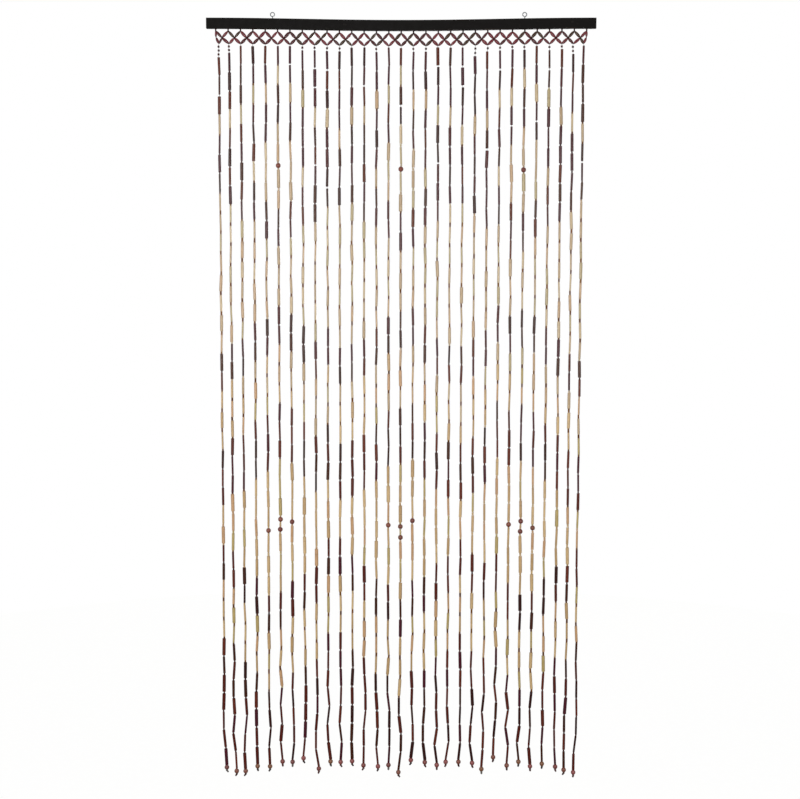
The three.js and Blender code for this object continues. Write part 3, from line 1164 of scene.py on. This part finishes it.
@dataclass(frozen=True)
class BeadStrings:
    """The hanging strings: charts of bamboo tubes with spacers, round beads, end beads and tails."""

    net: HeadingNet
    tube_length: float = 40 * MM
    tube_spread: float = 2.4 * MM
    width_spread: float = 0.06
    low_runs: int = 3
    low_girth: float = 1.1
    seed_length: float = 4.4 * MM
    seed_width: float = 4.8 * MM
    round_length: float = 12 * MM
    round_width: float = 11.2 * MM
    end_length: float = 11.5 * MM
    end_width: float = 11 * MM
    tail_length: float = 7 * MM
    tail_swing: float = 3 * MM
    dark_joint: float = 3.8 * MM
    pale_joint: float = 5.9 * MM
    tick_reach: float = 1.1 * MM
    spacer_share: float = 0.84
    spacer_width: float = 4.8 * MM
    spacer_step: float = 0.2 * MM
    neck_width: float = 3.9 * MM
    dark_spacers: float = 0.7
    bare_joints: tuple[float, float] = (0.24, 0.0)
    bare_from: float = 250 * MM
    bare_to: float = 450 * MM
    lean: float = 0.0017
    stray_top: float = 0.9 * MM
    stray_tip: float = 4.2 * MM
    stray_depth_share: float = 0.5
    stray_from: float = 1330 * MM
    play: float = 0.3 * MM
    longest_tip: float = -1794 * MM
    low_tones_from: float = 620 * MM
    low_tones_to: float = 1000 * MM
    string_radius: float = 0.45 * MM
    string_tone: str = "#4a2a2b"
    tail_tones: tuple[str, ...] = ("#4a2f2c", "#5a3a36", "#3d3330", "#6a6660")
    knot_radius: float = 1.7 * MM
    knot_steps: int = 36
    knot_depth: float = 0.6
    knot_drop: float = 0.9
    strand_radius: float = 1.15 * MM
    strand_steps: int = 6
    strand_apart: float = 0.7
    strand_fan: float = 0.5
    strand_front: float = 0.8
    strand_bend: float = 1.4
    strand_taper: float = 0.15
    side_strand_cut: float = 0.12

    # Width of a thin, a middling and a thick tube, and the draws from which a tube is middling or thick.
    TUBE_WIDTHS = {
        BeadKind.DARK_TUBE: ((4.7 * MM, 0.0), (5.7 * MM, 0.38), (7.0 * MM, 0.75)),
        BeadKind.NATURAL_TUBE: ((5.0 * MM, 0.0), (6.3 * MM, 0.4), (7.6 * MM, 0.8)),
        BeadKind.TICKED_TUBE: ((4.4 * MM, 0.0), (5.5 * MM, 0.42), (6.8 * MM, 0.78)),
    }

    # Charts of the strings from the top down, by their distance from the middle of a diamond, and those of
    # the odd strings. A letter is a kind of bead, and a last run of dark tubes follows each chart.
    DIAMOND_STRINGS = 10
    CHARTS = (
        "D1 N1 D2 N2 R1 N2 D2 S3 D2 S3 D3 N3 R1 T1 R1 N3 D2 S3",
        "D2 N1 D2 N3 D2 S4 D2 S3 D3 N3 R1 N3 D2 S3",
        "D2 N1 D3 N1 D2 S5 D2 S3 D3 N5 D2 S3",
        "D3 N1 D5 S6 D2 S3 D3 N4 D2 S3",
        "D3 N1 D4 S7 D2 S3 D3 N3 D2 S3",
        "D4 N1 D3 S7 D2 S3 D3 N2 D2 S3",
    )
    ODD_CHARTS = {
        0: "D3 N1 D3 S8 D2 S3 D3 N2 D2 S3",
        9: "D3 N1 D4 S6 D2 S3 D3 N3 D2 S3",
        16: "D2 N1 D2 N3 D2 S3 D2 S3 D3 N3 R1 N3 D2 S3",
        21: "D3 N1 D4 S6 D2 S3 D3 N3 D2 S3",
        22: "D3 N1 D5 S5 D2 S3 D3 N4 D2 S3",
        23: "D2 N1 D3 N1 D2 S4 D2 S3 D3 N5 D2 S3",
        24: "D2 N1 D2 N3 D3 S3 D2 S3 D3 N3 R1 N3 D2 S3",
        30: "D4 N1 D3 S8 D2 S3 D3 N2 D2 S3",
    }

    # Each string's seed beads at its top, the dark tubes of its last run, and the millimetres by which its
    # tip hangs above the longest one, with a line for each diamond.
    TOP_SEEDS = (
        *(3, 2, 0, 0, 0, 0, 0, 1, 1, 1),
        *(1, 0, 0, 1, 0, 0, 1, 1, 0, 0),
        *(0, 2, 1, 1, 1, 1, 0, 1, 1, 2),
        *(0,),
    )
    LAST_TUBES = (
        *(7, 7, 6, 5, 4, 4, 5, 5, 6, 7),
        *(7, 6, 6, 5, 5, 4, 5, 5, 6, 6),
        *(7, 6, 6, 6, 5, 4, 4, 5, 6, 6),
        *(7,),
    )
    TIP_RISES = (
        *(13, 3, 3, 15, 15, 27, 25, 35, 8, 27),
        *(25, 27, 17, 15, 17, 0, 30, 25, 17, 25),
        *(25, 22, 8, 37, 17, 25, 15, 20, 13, 5),
        *(0,),
    )

    # How many millimetres a string's lowest round bead hangs below where even joints would put it.
    ROUND_DROPS = {4: -16, 5: -11, 15: -8, 16: 15, 25: -8, 26: -19}

    def runs(self, string: int) -> list[tuple[BeadKind, int]]:
        """The runs of a string from the top down: what each is made of, and how many there are in it.

        Args:
            string: number of the string.

        Returns:
            A kind of bead and a count for each run.
        """
        from_middle = abs(string % self.DIAMOND_STRINGS - self.DIAMOND_STRINGS // 2)
        chart = self.ODD_CHARTS.get(string, self.CHARTS[from_middle])
        words = [*chart.split(), f"D{self.LAST_TUBES[string]}"]
        return [(BeadKind(word[0]), int(word[1:])) for word in words]

    def chart(self, string: int) -> list[BeadKind]:
        """The kinds of a string's beads from the top down, its end bead left out."""
        seeds = [BeadKind.SEED] * self.TOP_SEEDS[string]
        return seeds + [kind for kind, count in self.runs(string) for _ in range(count)]

    def settled(self, string: int, kinds: list[BeadKind], joints: Array) -> Array:
        """Lets the joints above and below a string's lowest round bead give way to each other.

        Args:
            string: number of the string.
            kinds: what its beads are.
            joints: lengths of its joints, each above its bead.

        Returns:
            The joints' lengths, with the same sum.
        """
        if string not in self.ROUND_DROPS:
            return joints
        drop = self.ROUND_DROPS[string] * MM
        below_round = 1 + max(place for place, kind in enumerate(kinds) if kind is BeadKind.ROUND)
        above, below = np.split(joints, [below_round])
        return np.concatenate([above * (1 + drop / above.sum()), below * (1 - drop / below.sum())])

    def bead_size(self, kind: BeadKind, string: int, place: int) -> tuple[float, float]:
        """The length and width of a bead.

        Args:
            kind: what the bead is.
            string: number of its string.
            place: its number on the string.

        Returns:
            Its length and its width.
        """
        if kind in (BeadKind.SEED, BeadKind.SHORT_PIECE):
            return self.seed_length, self.seed_width
        if kind is BeadKind.ROUND:
            return self.round_length, self.round_width
        roll = chance(string, place, Draw.WIDTH)
        width = [size for size, start in self.TUBE_WIDTHS[kind] if roll >= start][-1]
        width *= 1 + self.width_spread * float(swing(string, place, Draw.GIRTH))
        length = self.tube_length + self.tube_spread * (float(chance(string, place, Draw.LENGTH)) - 0.5)
        return length, width

    def strayed(self, string: int, places: Array, x: float, heights: Array) -> Array:
        """Where a string's joints lie: on the plumb line but for sideways play, which grows to the tip.

        Args:
            string: number of the string.
            places: the joints' numbers.
            x: where the string hangs.
            heights: the joints' heights.

        Returns:
            A point for each joint.
        """
        low = smoothstep(-heights, self.stray_from, -self.longest_tip)
        stray = self.stray_top + (self.stray_tip - self.stray_top) * low
        across = stray * swing(string, places, Draw.ACROSS) + self.lean * heights
        deep = self.stray_depth_share * stray * swing(string, places, Draw.DEEP)
        return np.stack([x + across, deep, heights], axis=1)

    def spacer(self, above: BeadKind | None, below: BeadKind, roll: float, low: float) -> BeadKind | None:
        """The spacer in a joint between two beads.

        Args:
            above: the bead above the joint.
            below: the bead below it.
            roll: the joint's draw.
            low: how far down the joint lies, from 0 to 1; fewer joints are bare low down.

        Returns:
            What fills the joint, or None where the string is bare.
        """
        if above in (None, BeadKind.SEED):
            return None
        if above is BeadKind.TICKED_TUBE and below is BeadKind.TICKED_TUBE:
            return BeadKind.DARK_SPACER
        if above in PALE_KINDS and below in PALE_KINDS or BeadKind.ROUND in (above, below):
            return BeadKind.PALE_SPACER
        if above in PALE_KINDS or below in PALE_KINDS:
            return BeadKind.DARK_SPACER if roll < self.dark_spacers else BeadKind.PALE_SPACER
        bare = np.interp(low, (0, 1), self.bare_joints)
        return None if roll < bare else BeadKind.SEED

    def thread(self, string: int, foot: Array) -> tuple[list[Threaded], Array]:
        """Hangs one string: its beads on straight lines from joint to joint.

        The joints stretch or close up together, so that the beads fill the room from the net to the end
        bead. Between two ticked tubes the dark spacer reaches a little further than its joint.

        Args:
            string: number of the string.
            foot: the net's point that it hangs from.

        Returns:
            The beads and spacers, and the points that the string runs through.
        """
        kinds = self.chart(string)
        end_top = self.longest_tip + self.TIP_RISES[string] * MM + self.tail_length + self.end_length
        sizes = np.array([self.bead_size(kind, string, place) for place, kind in enumerate(kinds)])
        lengths, widths = sizes.T
        low_count = sum(count for _, count in self.runs(string)[-self.low_runs :])
        widths[-low_count:] *= self.low_girth
        pale = np.array([kind in PALE_KINDS for kind in kinds])
        beside_pale = np.concatenate([[False], pale[:-1]])
        joints = np.where(pale & beside_pale, self.pale_joint, self.dark_joint)
        joints = joints * (foot[2] - end_top - lengths.sum()) / joints.sum()
        joints = self.settled(string, kinds, joints)
        bottoms = foot[2] - np.cumsum(joints + lengths)
        tops = bottoms + lengths
        places = np.arange(len(kinds) + 1)
        centres = self.strayed(string, places, foot[0], np.append(tops + joints / 2, end_top))
        falls = (centres[1:] - centres[:-1]) / (centres[:-1, 2] - centres[1:, 2])[:, None]
        starts = centres[:-1] + falls * (centres[:-1, 2] - tops)[:, None]
        ends = centres[:-1] + falls * (centres[:-1, 2] - bottoms)[:, None]
        ticked = np.array([kind is BeadKind.TICKED_TUBE for kind in kinds])
        reach = self.tick_reach * (ticked & np.roll(ticked, 1))
        starts += falls * reach[:, None]
        ends -= falls * np.roll(reach, -1)[:, None]
        starts[:, 0] += self.play * swing(string, places[:-1], Draw.PLAY_TOP)
        ends[:, 0] += self.play * swing(string, places[:-1], Draw.PLAY_BOTTOM)
        facts = zip(kinds, places, starts, ends, widths)
        strung = [Threaded(kind, string, *fact) for kind, *fact in facts]
        for place, (kind, joint) in enumerate(zip(kinds, joints)):
            above = kinds[place - 1] if place else None
            roll = float(chance(string, place, Draw.SPACER))
            low = smoothstep(-tops[place], self.bare_from, self.bare_to)
            filler = self.spacer(above, kind, roll, low)
            if filler is None:
                continue
            share = self.spacer_share if filler is BeadKind.PALE_SPACER else 1.0
            half = (0.5 * share * joint + reach[place]) * falls[place]
            widest = self.neck_width if filler is BeadKind.SEED else self.spacer_width
            width = min(widest, widths[place] - self.spacer_step, widths[place - 1] - self.spacer_step)
            top, bottom = centres[place] - half, centres[place] + half
            strung.append(Threaded(filler, string, place, top, bottom, width))
        end = centres[-1]
        end_foot = end - np.array([0, 0, self.end_length])
        strung.append(Threaded(BeadKind.END_BEAD, string, len(kinds), end, end_foot, self.end_width))
        return strung, np.concatenate([foot[None], centres, end_foot[None]])

    def tail(self, string: int, place: int, start: Array) -> Surface:
        """The knot under an end bead and the three cut string ends that hang from it.

        The knot is a trefoil: its angle runs twice round while its distance from the middle swells three
        times.

        Args:
            string: number of the string.
            place: number of the end bead.
            start: the foot of the end bead.

        Returns:
            The surface of the knot and the ends.
        """
        tone = self.tail_tones[int(chance(string, place, Draw.TONE) * len(self.tail_tones))]
        turn = np.linspace(0, 2 * math.pi, self.knot_steps, endpoint=False)
        swell = (2 + np.cos(3 * turn)) / 3
        across, up = swell * np.cos(2 * turn), swell * np.sin(2 * turn)
        knot = self.knot_radius * np.stack([across, np.sin(3 * turn) * self.knot_depth, up], axis=1)
        knot_middle = start - np.array([0, 0, self.knot_radius * self.knot_drop])
        parts = [sweep(knot_middle + knot, self.strand_radius, STRING_SIDES, tone, closed=True)]
        lean = self.tail_swing * float(swing(string, place, Draw.SWING))
        share = np.linspace(0, 1, self.strand_steps)
        radii = self.strand_radius * (1 - self.strand_taper * share)
        for strand in (-1, 0, 1):
            fan = strand * self.strand_radius * (self.strand_apart + self.strand_fan * share)
            drop = self.tail_length * (1 - self.side_strand_cut * abs(strand)) * share
            front = strand * strand * self.strand_radius * self.strand_front * np.ones_like(share)
            path = start + np.stack([lean * share**self.strand_bend + fan, front, -drop], axis=1)
            parts.append(sweep(path, radii, STRING_SIDES, tone))
        return Surface.join(parts)

    def lowness(self, beads: list[Threaded]) -> Array:
        """How likely each bead is to have a low tone: a soft step down the curtain."""
        heights = np.array([bead.top[2] for bead in beads])
        return smoothstep(-heights, self.low_tones_from, self.low_tones_to)

    def build(self) -> None:
        """Makes the net's and the strings' beads, the strings and the tails, and dresses them."""
        strung, paths = [], []
        for string, foot in enumerate(self.net.feet()):
            beads, path = self.thread(string, foot)
            strung += beads
            paths.append(path)
        kinds = {kind: [bead for bead in strung if bead.kind is kind] for kind in BeadKind}
        natural = kinds[BeadKind.NATURAL_TUBE] + kinds[BeadKind.TICKED_TUBE]
        pale = kinds[BeadKind.PALE_SPACER] + kinds[BeadKind.SHORT_PIECE]
        for name, beads, form, finish, slot in (
            ("dark_tubes", kinds[BeadKind.DARK_TUBE], TUBE_FORM, STAINED_BAMBOO, "dark_bamboo"),
            ("natural_tubes", natural, TUBE_FORM, NATURAL_BAMBOO, "natural_bamboo"),
            ("dark_spacers", kinds[BeadKind.DARK_SPACER], REED_FORM, STAINED_REED, "dark_bamboo"),
            ("seed_beads", kinds[BeadKind.SEED], REED_FORM, STAINED_SEED, "dark_bamboo"),
            ("pale_spacers", pale, REED_FORM, NATURAL_BAMBOO, "natural_bamboo"),
            ("net_beads", self.net.beads(), GRAIN_FORM, STAINED_GRAIN_BEAD, "dark_bamboo"),
        ):
            surface = lathe(beads, form, finish.picked(beads, self.lowness(beads)))
            place_piece(name, surface, finish.build(), STRINGS_NODE)
        ends = kinds[BeadKind.END_BEAD]
        for name, beads, finish in (
            ("round_beads", kinds[BeadKind.ROUND], LACQUERED_WOOD),
            ("end_beads", ends, END_WOOD),
        ):
            surface = lathe(beads, BALL_FORM, finish.picked(beads))
            place_piece(name, surface, finish.build(), STRINGS_NODE)
        hanging = [sweep(path, self.string_radius, STRING_SIDES, self.string_tone) for path in paths]
        tails = [self.tail(bead.string, bead.place, bead.bottom) for bead in ends]
        string_finish = WAXED_STRING.build()
        for name, surface in (
            ("hanging_strings", Surface.join(hanging)),
            ("net_strings", self.net.strings_surface()),
            ("knotted_tails", Surface.join(tails)),
        ):
            place_piece(name, surface, string_finish, STRINGS_NODE)


@dataclass(frozen=True)
class SoftLight:
    """One soft box: where it stands, its size and its power."""

    name: str
    place: tuple[float, float, float]
    size: float
    watts: float


@dataclass(frozen=True)
class Studio:
    """A pale floor under the curtain, white surroundings, soft boxes all round it, and the camera."""

    floor_drop: float = 0.26
    floor_radius: float = 3.2
    floor_middle: float = 0.04
    floor_rings: int = 12
    floor_sides: int = 64
    floor_tones: tuple[str, str] = ("#fdfdfc", "#ffffff")
    floor_base_tone: str = "#101010"
    floor_roughness: float = 0.9
    fleck_scale: float = 60.0
    fleck_detail: float = 3.0
    white: str = "#ffffff"
    surround: float = 0.1
    backdrop: float = 1.0
    middle: tuple[float, float, float] = (0.0, 0.0, -0.9)
    lights: tuple[SoftLight, ...] = (
        SoftLight("key", (-0.45, -3.3, -0.43), 0.9, 74),
        SoftLight("left fill", (-3.0, -1.9, -0.48), 1.6, 43),
        SoftLight("right fill", (3.0, -1.9, -0.55), 1.6, 37),
        SoftLight("top", (0.3, -0.6, 2.4), 2.4, 16),
        SoftLight("back", (0.5, 3.4, -0.3), 1.2, 48),
    )
    camera_place: tuple[float, float, float] = (0.0032, -3.054, -0.6445)
    camera_pitch_deg: float = -4.5
    lens_mm: float = 58.8

    def build_floor(self, lowest: float) -> None:
        """A round floor of white board, lit from within so that it stays pale, as rings about its middle.

        Args:
            lowest: height of the curtain's lowest point.
        """
        radii = np.linspace(self.floor_middle, self.floor_radius, self.floor_rings)[:, None]
        turn = np.linspace(0, 2 * math.pi, self.floor_sides, endpoint=False)
        heights = np.full((self.floor_rings, self.floor_sides), lowest - self.floor_drop)
        points = np.stack([radii * np.cos(turn), radii * np.sin(turn), heights], axis=-1)
        quads = ring_quads(self.floor_rings, self.floor_sides, closed=False)[:, ::-1]
        surface = Surface(points.reshape(-1, 3), quads, np.arange(self.floor_sides)[None], {})
        floor = bpy.data.objects.new("floor", surface.mesh("floor", sharp_deg=30))
        material, tree, shader = new_finish("lit white board")
        place = add_node(tree, "TexCoord").outputs["Object"]
        fleck = noise(tree, place, self.fleck_scale, self.fleck_detail)
        looks = {
            "Base Color": linear(self.floor_base_tone),
            "Roughness": self.floor_roughness,
            "Specular IOR Level": 0.0,
            "Emission Color": blend(tree, fleck, *(linear(tone) for tone in self.floor_tones)),
            "Emission Strength": 1.0,
        }
        fill(tree, shader, looks)
        floor.data.materials.append(material)
        floor.visible_diffuse = False
        floor.visible_glossy = False
        bpy.context.scene.collection.objects.link(floor)
        floor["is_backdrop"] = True

    def build_light(self) -> None:
        """White surroundings that light the curtain a little, and soft boxes that light it well."""
        world = bpy.data.worlds.new("studio")
        world.use_nodes = True
        tree = world.node_tree
        tree.nodes.clear()
        path = add_node(tree, "LightPath")
        white = linear(self.white)
        dim, bright = (
            add_node(tree, "Background", inputs={"Color": white, "Strength": strength}).outputs[0]
            for strength in (self.surround, self.backdrop)
        )
        seen = path.outputs["Is Camera Ray"]
        mixed = add_node(tree, "MixShader", inputs={0: seen, 1: dim, 2: bright})
        add_node(tree, "OutputWorld", inputs={"Surface": mixed.outputs[0]})
        scene = bpy.context.scene
        scene.world = world
        scene.view_settings.view_transform = "Standard"
        for light in self.lights:
            lamp = bpy.data.lights.new(light.name, "AREA")
            lamp.size = light.size
            lamp.energy = light.watts
            box = bpy.data.objects.new(light.name, lamp)
            box.location = light.place
            aim = Vector(self.middle) - Vector(light.place)
            box.rotation_euler = aim.to_track_quat("-Z", "Y").to_euler()
            box.visible_camera = False
            scene.collection.objects.link(box)

    def build_camera(self) -> None:
        """The camera in front of the curtain, a little above its middle and tilted down."""
        camera = bpy.data.objects.new("camera", bpy.data.cameras.new("camera"))
        camera.data.lens = self.lens_mm
        camera.location = self.camera_place
        level = math.radians(90 + self.camera_pitch_deg)
        camera.rotation_euler = Euler((level, 0, 0), "XYZ")
        bpy.context.scene.collection.objects.link(camera)
        bpy.context.scene.camera = camera


def main() -> None:
    """Builds the curtain's parts in order, then the studio."""
    logging.basicConfig(level=logging.INFO, format="%(message)s")
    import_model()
    cad_low, cad_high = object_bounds()
    studio = Studio()
    studio.build_camera()
    rail = RailBatten.from_frame()
    rail.build()
    zinc = ZINC_WIRE.build()
    for node in ("eye_left", "eye_right"):
        ScrewEye.from_frame(node).build(zinc)
    BeadStrings(HeadingNet(rail)).build()
    studio.build_floor(cad_low.z)
    studio.build_light()


if __name__ == "__main__":
    main()
